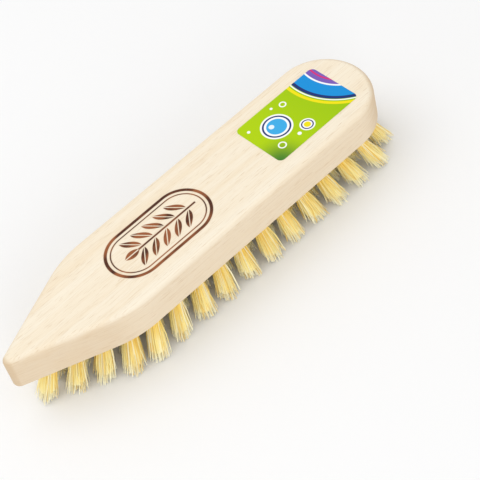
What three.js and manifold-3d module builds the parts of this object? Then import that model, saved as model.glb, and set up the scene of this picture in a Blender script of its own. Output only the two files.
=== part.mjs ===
// Pointed scrub brush: a one-piece wooden block, tufts of plant fibre folded over wire anchors
// in drilled blind holes, and a paper label on the back.
// Millimetres, +Z up. The brush stands on its trimmed fibre tips, with the nose towards -X.

import * as THREE from 'three';
import { mergeGeometries, mergeVertices } from 'three/addons/utils/BufferGeometryUtils.js';
import Module from 'manifold-3d';

// Wooden block
const BLOCK_LENGTH = 240;
const BLOCK_WIDTH = 55;
const BLOCK_THICKNESS = 20;
const NOSE_RADIUS = 4.2;
// Distance from the nose to the corner where the taper's line and the side's line would meet
const SHOULDER_FROM_NOSE = 57.7;
const SHOULDER_RADIUS = 58;
// Length of the half ellipse that ends the block
const HEEL_LENGTH = 26.6;
const BACK_EDGE_ROUND = 3.5;
const FACE_EDGE_ROUND = 1.2;

// Drilled holes
const HOLE_DIAMETER = 7;
const HOLE_DEPTH = 13;
// Wood left between the outer row of holes and the block's edge
const EDGE_WALL = 2;
// Least wood left between two holes at the face
const HOLE_WALL = 2;

// Rows of tufts: one row follows the outline, with straight rows inside it, each shifted half a pitch
const TUFT_PITCH = 14;
const NOSE_TUFT_FROM_NOSE = 22;
// Distance from the nose to the bend where the slanted part of the outer row becomes its straight part
const ROW_BEND_FROM_NOSE = 64;
// Distance from the nose to the tuft at the shoulder. The spacing changes a little there
const SHOULDER_TUFT_FROM_NOSE = 70;
// Length of the half ellipse that ends the outer row, flatter than the heel itself
const ROW_HEEL_LENGTH = 15;
const INNER_ROWS = 3;

// Fibre
const FREE_LENGTH = 24;
const STRANDS_IN_TUFT = 5;
const STRAND_ROOT_RADIUS = 1;
const STRAND_TIP_RADIUS = 1.7;
const TUFT_TIP_RADIUS = 5;
// Heights above the bristle face where the tufts' axes would meet, along the block and across it
const FAN_HEIGHT_LENGTHWISE = 230;
const FAN_HEIGHT_CROSSWISE = 147;

// Slice of the block's face that carries the tufts, let into the block
const SLICE_THICKNESS = 3;
const STRAND_SINK = 1;

// Flat wire anchors, with both ends driven into the wood beside their hole
const ANCHOR_BITE = 0.8;
const ANCHOR_HEIGHT = 2.2;
const ANCHOR_THICKNESS = 0.5;
// Fibre between the anchor and the end of its tuft
const FOLD_THICKNESS = 1.2;

// Paper label
const LABEL_LENGTH = 56;
const LABEL_WIDTH = 34;
const LABEL_THICKNESS = 0.15;
const LABEL_CORNER_RADIUS = 3;
const LABEL_FROM_HEEL = 16;
// Length of wood kept bare in front of the label
const LABEL_CLEARANCE = 10;

// Gap between pieces that fit into each other
const FIT_GAP = 0.3;

// Facets
const NOSE_STEPS = 6;
const SHOULDER_STEPS = 5;
const HEEL_STEPS = 12;
const BACK_EDGE_STEPS = 4;
const FACE_EDGE_STEPS = 2;
const HOLE_SIDES = 6;
const STRAND_SIDES = 3;
const LABEL_CORNER_STEPS = 4;

// Heights and places that follow from the sizes above
const FACE_Z = FREE_LENGTH;
const BACK_Z = FREE_LENGTH + BLOCK_THICKNESS;
const NOSE_X = -BLOCK_LENGTH / 2;
const HEEL_CENTRE_X = BLOCK_LENGTH / 2 - HEEL_LENGTH;
const HOLE_RADIUS = HOLE_DIAMETER / 2;
const LEAST_TUFT_SPACING = HOLE_DIAMETER + HOLE_WALL;
const ROOT_RADIUS = HOLE_RADIUS - FIT_GAP;
const ROOT_TOP = HOLE_DEPTH - FIT_GAP;
const ANCHOR_LENGTH = HOLE_DIAMETER + 2 * ANCHOR_BITE;
const ANCHOR_MID_HEIGHT = ROOT_TOP - FOLD_THICKNESS - ANCHOR_HEIGHT / 2;
const ROW_INSET = EDGE_WALL + HOLE_RADIUS;
const ROW_Y = BLOCK_WIDTH / 2 - ROW_INSET;
const NOSE_TUFT_X = NOSE_X + NOSE_TUFT_FROM_NOSE;
const ROW_BEND_X = NOSE_X + ROW_BEND_FROM_NOSE;
const SHOULDER_TUFT_X = NOSE_X + SHOULDER_TUFT_FROM_NOSE;
const LABEL_CENTRE_X = BLOCK_LENGTH / 2 - LABEL_FROM_HEEL - LABEL_LENGTH / 2;
const BARE_BACK_END_X = LABEL_CENTRE_X - LABEL_LENGTH / 2 - LABEL_CLEARANCE;

const WOOD = new THREE.MeshStandardMaterial({ color: 0xf1e2c6, roughness: 0.65, metalness: 0 });
const FIBRE = new THREE.MeshStandardMaterial({ color: 0xecd27c, roughness: 0.7, metalness: 0 });
const WIRE = new THREE.MeshStandardMaterial({ color: 0xa9a7a2, roughness: 0.35, metalness: 1 });
const PAPER = new THREE.MeshStandardMaterial({ color: 0xa4cd12, roughness: 0.4, metalness: 0 });

const wasm = await Module();
wasm.setup();

// Turns closed geometry into a solid for cutting and joining.
function solidFrom(geometry) {
  const bare = geometry.clone();
  bare.deleteAttribute('normal');
  bare.deleteAttribute('uv');
  const merged = mergeVertices(bare);
  const vertProperties = new Float32Array(merged.attributes.position.array);
  const triVerts = new Uint32Array(merged.index.array);
  return new wasm.Manifold(new wasm.Mesh({ numProp: 3, vertProperties, triVerts }));
}

// Turns a solid back into geometry.
function geometryFrom(solid) {
  const { vertProperties, triVerts } = solid.getMesh();
  const geometry = new THREE.BufferGeometry();
  geometry.setAttribute('position', new THREE.BufferAttribute(vertProperties, 3));
  geometry.setIndex(new THREE.BufferAttribute(triVerts, 1));
  geometry.computeVertexNormals();
  return geometry;
}

function namedMesh(name, geometry, material) {
  const mesh = new THREE.Mesh(geometry, material);
  mesh.name = name;
  return mesh;
}

// Points on an elliptical arc, moved inwards along the normals.
function arcPoints(centre, radiusX, radiusY, fromAngle, toAngle, steps, inset) {
  const points = [];
  for (let step = 0; step <= steps; step += 1) {
    const angle = THREE.MathUtils.lerp(fromAngle, toAngle, step / steps);
    const normal = new THREE.Vector2(Math.cos(angle) / radiusX, Math.sin(angle) / radiusY).normalize();
    const point = new THREE.Vector2(radiusX * Math.cos(angle), radiusY * Math.sin(angle));
    points.push(point.add(centre).addScaledVector(normal, -inset));
  }
  return points;
}

// Half of the block's outline, +Y side, from the nose to the heel.
// One point on the straight side lies level with the end of the bare part of the back.
function halfOutline(inset) {
  const nose = new THREE.Vector2(NOSE_X + NOSE_RADIUS, 0);
  const corner = new THREE.Vector2(NOSE_X + SHOULDER_FROM_NOSE, BLOCK_WIDTH / 2);
  const toCorner = corner.clone().sub(nose);
  const taper = toCorner.angle() - Math.asin(NOSE_RADIUS / toCorner.length());
  const taperNormal = Math.PI / 2 + taper;
  const shoulderX = corner.x + SHOULDER_RADIUS * Math.tan(taper / 2);
  const shoulder = new THREE.Vector2(shoulderX, corner.y - SHOULDER_RADIUS);
  const heel = new THREE.Vector2(HEEL_CENTRE_X, 0);
  return [
    ...arcPoints(nose, NOSE_RADIUS, NOSE_RADIUS, Math.PI, taperNormal, NOSE_STEPS, inset),
    ...arcPoints(shoulder, SHOULDER_RADIUS, SHOULDER_RADIUS, taperNormal, Math.PI / 2, SHOULDER_STEPS, inset),
    new THREE.Vector2(BARE_BACK_END_X, BLOCK_WIDTH / 2 - inset),
    ...arcPoints(heel, HEEL_LENGTH, BLOCK_WIDTH / 2, Math.PI / 2, 0, HEEL_STEPS, inset),
  ];
}

// The whole outline as a closed ring at one height. Its first half runs from nose to heel.
function outlineRing(inset, z) {
  const half = halfOutline(inset);
  const mirrored = half.slice(1, -1).reverse();
  return [
    ...half.map((point) => new THREE.Vector3(point.x, point.y, z)),
    ...mirrored.map((point) => new THREE.Vector3(point.x, -point.y, z)),
  ];
}

// Closed body over a stack of outline rings, with both ends closed by strips across the width.
function loft(rings) {
  const count = rings[0].length;
  const heelIndex = count / 2;
  const indices = [];
  for (let level = 0; level + 1 < rings.length; level += 1) {
    const lower = level * count;
    const upper = lower + count;
    for (let i = 0; i < count; i += 1) {
      const next = (i + 1) % count;
      indices.push(lower + i, upper + i, lower + next);
      indices.push(lower + next, upper + i, upper + next);
    }
  }
  const last = (rings.length - 1) * count;
  for (let i = 0; i < heelIndex; i += 1) {
    const mirror = (count - i) % count;
    const mirrorNext = count - i - 1;
    if (i + 1 < heelIndex) {
      indices.push(i, i + 1, mirrorNext);
      indices.push(last + i, last + mirrorNext, last + i + 1);
    }
    if (i > 0) {
      indices.push(i, mirrorNext, mirror);
      indices.push(last + i, last + mirror, last + mirrorNext);
    }
  }
  const geometry = new THREE.BufferGeometry().setFromPoints(rings.flat());
  geometry.setIndex(indices);
  return geometry;
}

// Slopes of a tuft's axis: how far it moves outwards for each millimetre down.
function leanOf(tuft) {
  return new THREE.Vector2(tuft.x / FAN_HEIGHT_LENGTHWISE, tuft.y / FAN_HEIGHT_CROSSWISE);
}

// Prism between two heights above the bristle face, with level ends, a leaning axis and a corner at +X.
function leaningPrism(foot, lean, lower, upper, sides) {
  const length = upper.height - lower.height;
  const turn = Math.PI / 2;
  const prism = new THREE.CylinderGeometry(upper.radius, lower.radius, length, sides, 1, false, turn);
  prism.rotateX(Math.PI / 2);
  prism.translate(0, 0, (lower.height + upper.height) / 2);
  prism.applyMatrix4(new THREE.Matrix4().makeShear(0, 0, 0, 0, -lean.x, -lean.y));
  prism.translate(foot.x, foot.y, FACE_Z);
  return prism;
}

// The outer row: evenly spaced from the nose to the shoulder, along the side, and round the heel.
function outerRow() {
  const nose = new THREE.Path();
  nose.moveTo(NOSE_TUFT_X, 0);
  nose.lineTo(ROW_BEND_X, ROW_Y);
  nose.lineTo(SHOULDER_TUFT_X, ROW_Y);
  const sideStart = new THREE.Vector2(SHOULDER_TUFT_X, ROW_Y);
  const side = new THREE.LineCurve(sideStart, new THREE.Vector2(HEEL_CENTRE_X, ROW_Y));
  const heel = new THREE.EllipseCurve(HEEL_CENTRE_X, 0, ROW_HEEL_LENGTH, ROW_Y, Math.PI / 2, 0, true);
  const spacesIn = (curve) => Math.round(curve.getLength() / TUFT_PITCH);
  const half = [nose, side, heel].flatMap((curve) => curve.getSpacedPoints(spacesIn(curve)).slice(1));
  const between = half.slice(0, -1);
  const mirrored = between.map((spot) => new THREE.Vector2(spot.x, -spot.y));
  const noseSpot = new THREE.Vector2(NOSE_TUFT_X, 0);
  const pitch = side.getLength() / spacesIn(side);
  return { spots: [noseSpot, ...between, half.at(-1), ...mirrored], pitch };
}

// A straight row inside the outer one. It stops where it would come too near the outer row.
function innerRow(y, shift, outer) {
  const share = Math.abs(y) / ROW_Y;
  const startX = THREE.MathUtils.lerp(NOSE_TUFT_X, ROW_BEND_X, share);
  const endX = HEEL_CENTRE_X + ROW_HEEL_LENGTH * Math.sqrt(1 - share * share);
  const spots = [];
  for (let x = HEEL_CENTRE_X + (1 + shift) * outer.pitch; x > startX; x -= outer.pitch) {
    const spot = new THREE.Vector2(x, y);
    const clear = outer.spots.every((other) => other.distanceTo(spot) >= LEAST_TUFT_SPACING);
    if (clear && x < endX) {
      spots.push(spot);
    }
  }
  return spots;
}

// All rows, from the -Y side to the +Y side inside the outer one.
function tuftRows() {
  const outer = outerRow();
  const rows = [outer.spots];
  const spacing = (2 * ROW_Y) / (INNER_ROWS + 1);
  for (let row = 1; row <= INNER_ROWS; row += 1) {
    const shift = row % 2 === 1 ? 0.5 : 0;
    rows.push(innerRow(row * spacing - ROW_Y, shift, outer));
  }
  return rows;
}

function anchorBox(tuft, grow) {
  const box = new THREE.BoxGeometry(
    ANCHOR_THICKNESS + 2 * grow,
    ANCHOR_LENGTH + 2 * grow,
    ANCHOR_HEIGHT + 2 * grow,
  );
  const centre = tuft.clone().addScaledVector(leanOf(tuft), -ANCHOR_MID_HEIGHT);
  box.translate(centre.x, centre.y, FACE_Z + ANCHOR_MID_HEIGHT);
  return box;
}

function tuftPrism(tuft, fromHeight, toHeight, radius) {
  const lower = { height: fromHeight, radius };
  const upper = { height: toHeight, radius };
  return leaningPrism(tuft, leanOf(tuft), lower, upper, HOLE_SIDES);
}

// A ring of strands, each flaring like a bunch of fibre and spreading from the hole to the tips.
function tuftStrands(tuft) {
  const ringRadius = ROOT_RADIUS - STRAND_ROOT_RADIUS;
  const spread = (TUFT_TIP_RADIUS - STRAND_TIP_RADIUS) / ringRadius - 1;
  const tip = { height: -FREE_LENGTH, radius: STRAND_TIP_RADIUS };
  const root = { height: STRAND_SINK, radius: STRAND_ROOT_RADIUS };
  const strands = [];
  for (let i = 0; i < STRANDS_IN_TUFT; i += 1) {
    const angle = (i * 2 * Math.PI) / STRANDS_IN_TUFT;
    const offset = new THREE.Vector2(ringRadius * Math.cos(angle), ringRadius * Math.sin(angle));
    const lean = leanOf(tuft).addScaledVector(offset, spread / FREE_LENGTH);
    strands.push(leaningPrism(tuft.clone().add(offset), lean, tip, root, STRAND_SIDES));
  }
  return strands;
}

// Wooden block: rounded edges, a shallow recess for the slice of its face, holes and anchor slots.
function woodenBlock(tufts) {
  const rings = [
    outlineRing(EDGE_WALL, FACE_Z + SLICE_THICKNESS + FIT_GAP),
    outlineRing(EDGE_WALL, FACE_Z),
  ];
  for (let step = 0; step <= FACE_EDGE_STEPS; step += 1) {
    const angle = (step / FACE_EDGE_STEPS) * (Math.PI / 2);
    const inset = FACE_EDGE_ROUND * (1 - Math.sin(angle));
    rings.push(outlineRing(inset, FACE_Z + FACE_EDGE_ROUND * (1 - Math.cos(angle))));
  }
  for (let step = 0; step <= BACK_EDGE_STEPS; step += 1) {
    const angle = (step / BACK_EDGE_STEPS) * (Math.PI / 2);
    const inset = BACK_EDGE_ROUND * (1 - Math.cos(angle));
    rings.push(outlineRing(inset, BACK_Z - BACK_EDGE_ROUND * (1 - Math.sin(angle))));
  }
  const holes = tufts.map((tuft) => tuftPrism(tuft, SLICE_THICKNESS, HOLE_DEPTH, HOLE_RADIUS));
  const slots = tufts.map((tuft) => anchorBox(tuft, FIT_GAP));
  const block = solidFrom(loft(rings))
    .subtract(solidFrom(mergeGeometries(holes)))
    .subtract(solidFrom(mergeGeometries(slots)));
  return namedMesh('wooden_block', geometryFrom(block), WOOD);
}

// All tufts on their slice: folded roots above it, strands below it with their tips level.
// The roots in anchoredTufts are open for their own anchors, and the others hold theirs fused in.
function bristleTufts(tufts, anchoredTufts) {
  const sliceInset = EDGE_WALL + FIT_GAP;
  const slice = loft([
    outlineRing(sliceInset, FACE_Z),
    outlineRing(sliceInset, FACE_Z + SLICE_THICKNESS),
  ]);
  const sunk = SLICE_THICKNESS - STRAND_SINK;
  const roots = tufts.map((tuft) => tuftPrism(tuft, sunk, ROOT_TOP, ROOT_RADIUS));
  const openings = anchoredTufts.map((tuft) => anchorBox(tuft, FIT_GAP));
  const fusedTufts = tufts.filter((tuft) => !anchoredTufts.includes(tuft));
  const fusedAnchors = fusedTufts.map((tuft) => anchorBox(tuft, 0));
  const field = solidFrom(slice)
    .add(solidFrom(mergeGeometries(roots)))
    .subtract(solidFrom(mergeGeometries(openings)))
    .add(solidFrom(mergeGeometries(fusedAnchors)))
    .add(solidFrom(mergeGeometries(tufts.flatMap(tuftStrands))));
  return namedMesh('bristle_tufts', geometryFrom(field), FIBRE);
}

function wireAnchors(rowName, tufts) {
  return tufts.map((tuft, i) => {
    const number = String(i + 1).padStart(2, '0');
    return namedMesh(`anchor_${rowName}_${number}`, anchorBox(tuft, 0), WIRE);
  });
}

// Label with rounded corners, flat on the back of the block.
function paperLabel() {
  const halfLength = LABEL_LENGTH / 2 - LABEL_CORNER_RADIUS;
  const halfWidth = LABEL_WIDTH / 2 - LABEL_CORNER_RADIUS;
  const outline = new THREE.Shape();
  outline.absarc(halfLength, halfWidth, LABEL_CORNER_RADIUS, 0, Math.PI / 2);
  outline.absarc(-halfLength, halfWidth, LABEL_CORNER_RADIUS, Math.PI / 2, Math.PI);
  outline.absarc(-halfLength, -halfWidth, LABEL_CORNER_RADIUS, Math.PI, 1.5 * Math.PI);
  outline.absarc(halfLength, -halfWidth, LABEL_CORNER_RADIUS, 1.5 * Math.PI, 2 * Math.PI);
  const label = new THREE.ExtrudeGeometry(outline, {
    depth: LABEL_THICKNESS,
    bevelEnabled: false,
    curveSegments: LABEL_CORNER_STEPS,
  });
  label.translate(LABEL_CENTRE_X, 0, BACK_Z);
  return namedMesh('paper_label', label, PAPER);
}

const [outerSpots, rightSpots, centreSpots, leftSpots] = tuftRows();
const allSpots = [...outerSpots, ...rightSpots, ...centreSpots, ...leftSpots];
const anchoredSpots = [...outerSpots, ...rightSpots, ...leftSpots];

const brush = new THREE.Group();
brush.add(
  woodenBlock(allSpots),
  paperLabel(),
  bristleTufts(allSpots, anchoredSpots),
  ...wireAnchors('outer', outerSpots),
  ...wireAnchors('right', rightSpots),
  ...wireAnchors('left', leftSpots),
);

// The origin lies under the middle of the whole brush.
const extent = new THREE.Box3().setFromObject(brush);
brush.position.x = -(extent.min.x + extent.max.x) / 2;

export default brush;
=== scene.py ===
"""Looks of a pointed scrub brush: a sanded beech block, tufts of plant fibre and a paper label.

Sizes are in millimetres in the CAD frame, apart from the lamps' sizes, and become metres where a
mesh or the camera is made.
"""

import logging
import math
import random
from collections.abc import Iterable, Sequence
from dataclasses import dataclass
from enum import Enum

import bmesh
import bpy
from mathutils import Matrix, Vector


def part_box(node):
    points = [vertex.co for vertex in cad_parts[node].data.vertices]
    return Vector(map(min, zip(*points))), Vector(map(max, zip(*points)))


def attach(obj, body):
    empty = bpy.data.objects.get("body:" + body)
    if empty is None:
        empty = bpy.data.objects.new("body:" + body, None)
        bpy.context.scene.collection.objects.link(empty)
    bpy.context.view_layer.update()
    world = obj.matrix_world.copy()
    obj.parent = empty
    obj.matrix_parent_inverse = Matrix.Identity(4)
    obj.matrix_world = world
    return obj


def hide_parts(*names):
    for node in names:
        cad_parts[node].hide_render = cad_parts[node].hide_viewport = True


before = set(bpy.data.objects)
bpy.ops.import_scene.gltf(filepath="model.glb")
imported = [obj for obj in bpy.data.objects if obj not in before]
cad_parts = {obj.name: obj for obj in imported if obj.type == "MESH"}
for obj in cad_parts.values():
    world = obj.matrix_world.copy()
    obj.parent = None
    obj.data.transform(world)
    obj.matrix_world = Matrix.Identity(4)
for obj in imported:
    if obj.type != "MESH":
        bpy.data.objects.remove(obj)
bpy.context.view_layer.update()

LOG = logging.getLogger("scrub_brush")
MM = 0.001
BODY = "root"
# Points closer than this, in metres, count as one.
TOUCH = 0.01 * MM
# Turn between spots that fill a disc evenly, as seeds fill a flower head.
GOLDEN_ANGLE = math.pi * (3 - math.sqrt(5))
# Attributes that the fibres' vertices carry.
ALONG = "along_fibre"
TONE = "fibre_tone"
NUMBER = "fibre_number"
# Finer octaves that noise usually has, and the strength of each as a share of the one before it.
NOISE_DETAIL = 2.0
NOISE_ROUGHNESS = 0.55
# Setting with which a Map Range node fades smoothly.
SMOOTH = {"interpolation_type": "SMOOTHSTEP"}
# Sockets of the Mix node when it mixes colours.
MIX_A = 6
MIX_B = 7
MIX_RESULT = 2

Colour = tuple[float, float, float, float]
Size = tuple[float, float, float]
# Values at which a fade starts and ends, then its results there where they aren't 0 and 1.
Span = tuple[float, ...]
Tree = bpy.types.NodeTree
Shader = bpy.types.Node
Socket = bpy.types.NodeSocket
Outputs = bpy.types.bpy_prop_collection
# A colour, as a hex value or an output, and its mask, or else a value and the span of its fade.
Coat = tuple[str | float | Socket, ...]
Piece = bpy.types.Object
BMesh = bmesh.types.BMesh
Vert = bmesh.types.BMVert
Edge = bmesh.types.BMEdge
Face = bmesh.types.BMFace


class Slot(Enum):
    """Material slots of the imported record."""

    WOOD = "wood"
    FIBRE = "fibre"
    LABEL = "label"


class Row(Enum):
    """Rows of tufts, with right and left as seen from the nose."""

    OUTER = "outer"
    RIGHT = "right"
    CENTRE = "centre"
    LEFT = "left"


class Ink(Enum):
    """Printing inks of the label."""

    WHITE = "#FFFFFF"
    NAVY = "#1F3474"
    BLUE = "#1692DC"
    SKY = "#3FAEE8"
    GLINT = "#E9F6FC"
    VIOLET = "#7D5FB8"
    PINK = "#D9307A"
    YELLOW = "#F4E410"


def linear(code: str) -> Colour:
    """Turns an sRGB hex value into a linear colour.

    Args:
        code: Hex value such as "#A4CD12".

    Returns:
        Linear red, green and blue, and an alpha of 1.
    """
    channels = [int(code[at:at + 2], 16) / 255 for at in (1, 3, 5)]
    red, green, blue = (
        c / 12.92 if c <= 0.04045 else ((c + 0.055) / 1.055) ** 2.4 for c in channels
    )
    return red, green, blue, 1.0


def set_inputs(tree: Tree, node: Shader, inputs: Sequence | dict) -> None:
    """Sets a node's inputs, or links outputs to them.

    Args:
        tree: Node tree of the node.
        node: Node whose inputs are set.
        inputs: Values, or outputs to link, in the node's own order or by socket.
    """
    for key, value in inputs.items() if isinstance(inputs, dict) else enumerate(inputs):
        if isinstance(value, Socket):
            tree.links.new(value, node.inputs[key])
        else:
            node.inputs[key].default_value = value


def add_node(tree: Tree, kind: str, inputs: Sequence | dict = (), **settings: object) -> Outputs:
    """Adds a shader node with its settings and links.

    Args:
        tree: Node tree that takes the node.
        kind: Type of the node, without its "ShaderNode" prefix.
        inputs: Its inputs, as set_inputs takes them.
        settings: Properties of the node itself.

    Returns:
        The node's outputs.
    """
    node = tree.nodes.new("ShaderNode" + kind)
    for name, value in settings.items():
        setattr(node, name, value)
    set_inputs(tree, node, inputs)
    return node.outputs


def lay_colours(tree: Tree, base: str, coats: Iterable[Coat]) -> Socket:
    """Lays colours over a base one after the other.

    Args:
        tree: Node tree of the material.
        base: Hex value of the lowest colour.
        coats: Colours to lay over it.

    Returns:
        The mixed colour.
    """
    colour = linear(base)
    for over, mask, *span in coats:
        over = linear(over) if isinstance(over, str) else over
        if span:
            mask = add_node(tree, "MapRange", (mask, *span), **SMOOTH)[0]
        sockets = {0: mask, MIX_A: colour, MIX_B: over}
        colour = add_node(tree, "Mix", sockets, data_type="RGBA")[MIX_RESULT]
    return colour


def mm_place(tree: Tree, centre: Size = (0.0, 0.0, 0.0)) -> Socket:
    """Gives a surface point's place in millimetres from a centre.

    Args:
        tree: Node tree of the material.
        centre: Centre in the CAD frame.

    Returns:
        The place as a vector.
    """
    place = add_node(tree, "TexCoord")["Object"]
    scale = (1 / MM, 1 / MM, 1 / MM)
    sockets = {"Vector": place, "Location": [-side for side in centre], "Scale": scale}
    return add_node(tree, "Mapping", sockets)["Vector"]


def grain_noise(tree: Tree, place: Socket, size: Size, detail: float = NOISE_DETAIL) -> Socket:
    """Makes noise whose spots have a given size along each axis.

    Args:
        tree: Node tree of the material.
        place: Place in millimetres.
        size: Size of a spot along X, Y and Z.
        detail: Octaves of finer noise.

    Returns:
        Noise from 0 to 1.
    """
    scale = [1 / side for side in size]
    stretched = add_node(tree, "Mapping", {"Vector": place, "Scale": scale})["Vector"]
    sockets = {"Vector": stretched, "Scale": 1.0, "Detail": detail, "Roughness": NOISE_ROUGHNESS}
    return add_node(tree, "TexNoise", sockets)["Fac"]


@dataclass(frozen=True)
class Finish:
    """A finish: the name of its material, and the shader that each kind paints."""

    name: str

    def make(self) -> bpy.types.Material:
        """Makes the material.

        Returns:
            The new material.
        """
        material = bpy.data.materials.new(self.name)
        material.use_nodes = True
        tree = material.node_tree
        self.paint(tree, tree.nodes["Principled BSDF"])
        return material

    def paint(self, tree: Tree, shader: Shader) -> None:
        """Sets the inputs of the material's Principled shader, in each finish's own way."""
        raise NotImplementedError


@dataclass(frozen=True)
class BurntMark:
    """A leafy sprig in a plain oval, burnt lightly into the block's back by a hot stamp."""

    from_nose: float = 99.0
    off_middle: float = -1.0
    length: float = 61.0
    width: float = 30.0
    rim_line: float = 1.7
    inner_line: float = 0.7
    inner_rim: float = 2.6
    leaf_pairs: int = 5
    leaf_spacing: float = 7.4
    leaf_length: float = 9.6
    leaf_width: float = 4.8
    leaf_middle: float = 5.6
    leaf_lean: float = 0.75
    leaf_rib: float = 0.6
    sprig_shift: float = 5.0
    end_leaf: float = -17.4
    stem_line: float = 1.1
    stem_middle: float = 5.6
    stem_length: float = 38.0
    edge_blur: float = 0.18
    scorch_width: float = 0.9

    @staticmethod
    def _line(tree: Tree, distance: Socket, line: float, blur: float) -> Socket:
        """Masks a line by the distance from its middle, its width and its edges' blur."""
        away = add_node(tree, "Math", (distance,), operation="ABSOLUTE")[0]
        return add_node(tree, "MapRange", (away, line / 2 + blur, line / 2 - blur), **SMOOTH)[0]

    def _leaf(self, tree: Tree, along: Socket, across: Socket, blur: float) -> Socket:
        """Masks a pointed leaf, less the rib down its middle.

        Args:
            tree: Node tree of the material.
            along: Distance along the leaf from its middle.
            across: Distance from its rib.
            blur: Half the width of its blurred edge.

        Returns:
            Mask that is 1 on the leaf.
        """
        half = self.leaf_width / 2
        share = add_node(tree, "Math", (along, self.leaf_length / 2), operation="DIVIDE")[0]
        square = add_node(tree, "Math", (share, share), operation="MULTIPLY")[0]
        edge = add_node(tree, "Math", (square, -half, half), operation="MULTIPLY_ADD")[0]
        away = add_node(tree, "Math", (across,), operation="ABSOLUTE")[0]
        beyond = add_node(tree, "Math", (away, edge), operation="SUBTRACT")[0]
        leaf = add_node(tree, "MapRange", (beyond, blur, -blur), **SMOOTH)[0]
        rib = self._line(tree, across, self.leaf_rib, self.edge_blur)
        beside_rib = add_node(tree, "Math", (1.0, rib), operation="SUBTRACT")[0]
        return add_node(tree, "Math", (leaf, beside_rib), operation="MULTIPLY")[0]

    def _sprig(self, tree: Tree, x: Socket, y: Socket, blur: float) -> Socket:
        """Masks the sprig: leaves in pairs along a stem, and one at its end.

        Args:
            tree: Node tree of the material.
            x: Place along the block from the mark's centre.
            y: Place across the block from the mark's centre.
            blur: Half the width of the sprig's blurred edge.

        Returns:
            Mask that is 1 on the sprig.
        """
        half = self.leaf_spacing / 2
        off_stem = add_node(tree, "Math", (y,), operation="ABSOLUTE")[0]
        leaned = add_node(tree, "Math", (off_stem, self.leaf_lean, x), operation="MULTIPLY_ADD")[0]
        leaned = add_node(tree, "Math", (leaned, self.sprig_shift), operation="SUBTRACT")[0]
        across = add_node(tree, "Math", (leaned, half, -half), operation="WRAP")[0]
        along = add_node(tree, "Math", (off_stem, self.leaf_middle), operation="SUBTRACT")[0]
        pair = self._leaf(tree, along, across, blur)
        reach = add_node(tree, "Math", (leaned,), operation="ABSOLUTE")[0]
        on_stem = add_node(tree, "Math", (reach, half * self.leaf_pairs), operation="LESS_THAN")[0]
        pairs = add_node(tree, "Math", (pair, on_stem), operation="MULTIPLY")[0]
        along = add_node(tree, "Math", (x, self.end_leaf), operation="SUBTRACT")[0]
        end_leaf = self._leaf(tree, along, y, blur)
        leaves = add_node(tree, "Math", (pairs, end_leaf), operation="MAXIMUM")[0]
        along = add_node(tree, "Math", (x, self.stem_middle), operation="SUBTRACT")[0]
        stem_side = self._line(tree, y, self.stem_line, blur)
        stem_ends = self._line(tree, along, self.stem_length, blur)
        stem = add_node(tree, "Math", (stem_side, stem_ends), operation="MULTIPLY")[0]
        return add_node(tree, "Math", (leaves, stem), operation="MAXIMUM")[0]

    def masks(self, tree: Tree, place: Socket, on_back: Socket) -> tuple[Socket, Socket]:
        """Masks the burnt lines and the scorched wood around them.

        Args:
            tree: Node tree of the material.
            place: Place in millimetres from the mark's centre.
            on_back: Mask that is 1 on the back of the block alone.

        Returns:
            Mask of the burnt lines, and a softer one of the scorched wood.
        """
        x, y, _ = add_node(tree, "SeparateXYZ", (place,))
        turn = self.width / 2
        reach = add_node(tree, "Math", (x,), operation="ABSOLUTE")[0]
        past = add_node(tree, "Math", (reach, self.length / 2 - turn), operation="SUBTRACT")[0]
        past = add_node(tree, "Math", (past, 0.0), operation="MAXIMUM")[0]
        corner = add_node(tree, "CombineXYZ", (past, y))[0]
        radius = add_node(tree, "VectorMath", (corner,), operation="LENGTH")["Value"]
        rim = add_node(tree, "Math", (radius, turn), operation="SUBTRACT")[0]
        inner = add_node(tree, "Math", (rim, self.inner_rim), operation="ADD")[0]
        masks = []
        for blur in (self.edge_blur, self.scorch_width):
            lines = self._sprig(tree, x, y, blur)
            for distance, width in ((rim, self.rim_line), (inner, self.inner_line)):
                line = self._line(tree, distance, width, blur)
                lines = add_node(tree, "Math", (lines, line), operation="MAXIMUM")[0]
            masks.append(add_node(tree, "Math", (lines, on_back), operation="MULTIPLY")[0])
        return masks[0], masks[1]


@dataclass(frozen=True)
class Grain:
    """Marks along the grain, by their length and width on the block's back and on its sides."""

    on_back: tuple[float, float]
    on_sides: tuple[float, float]
    detail: float = NOISE_DETAIL
    # Over the rounded edges the sides' marks give way to the back's.
    edge_span: Span = (0.5, 0.85)

    def noise(self, tree: Tree, place: Socket, upright: Socket) -> Socket:
        """Makes the marks' noise, in lying layers on the sides.

        Args:
            tree: Node tree of the material.
            place: Place in millimetres.
            upright: How far the surface faces up or down, from 0 to 1.

        Returns:
            Noise from 0 to 1.
        """
        length, width = self.on_back
        back = grain_noise(tree, place, (length, width, width), self.detail)
        length, width = self.on_sides
        sides = grain_noise(tree, place, (length, length, width), self.detail)
        return add_node(tree, "MapRange", (upright, *self.edge_span, sides, back), **SMOOTH)[0]


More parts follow.
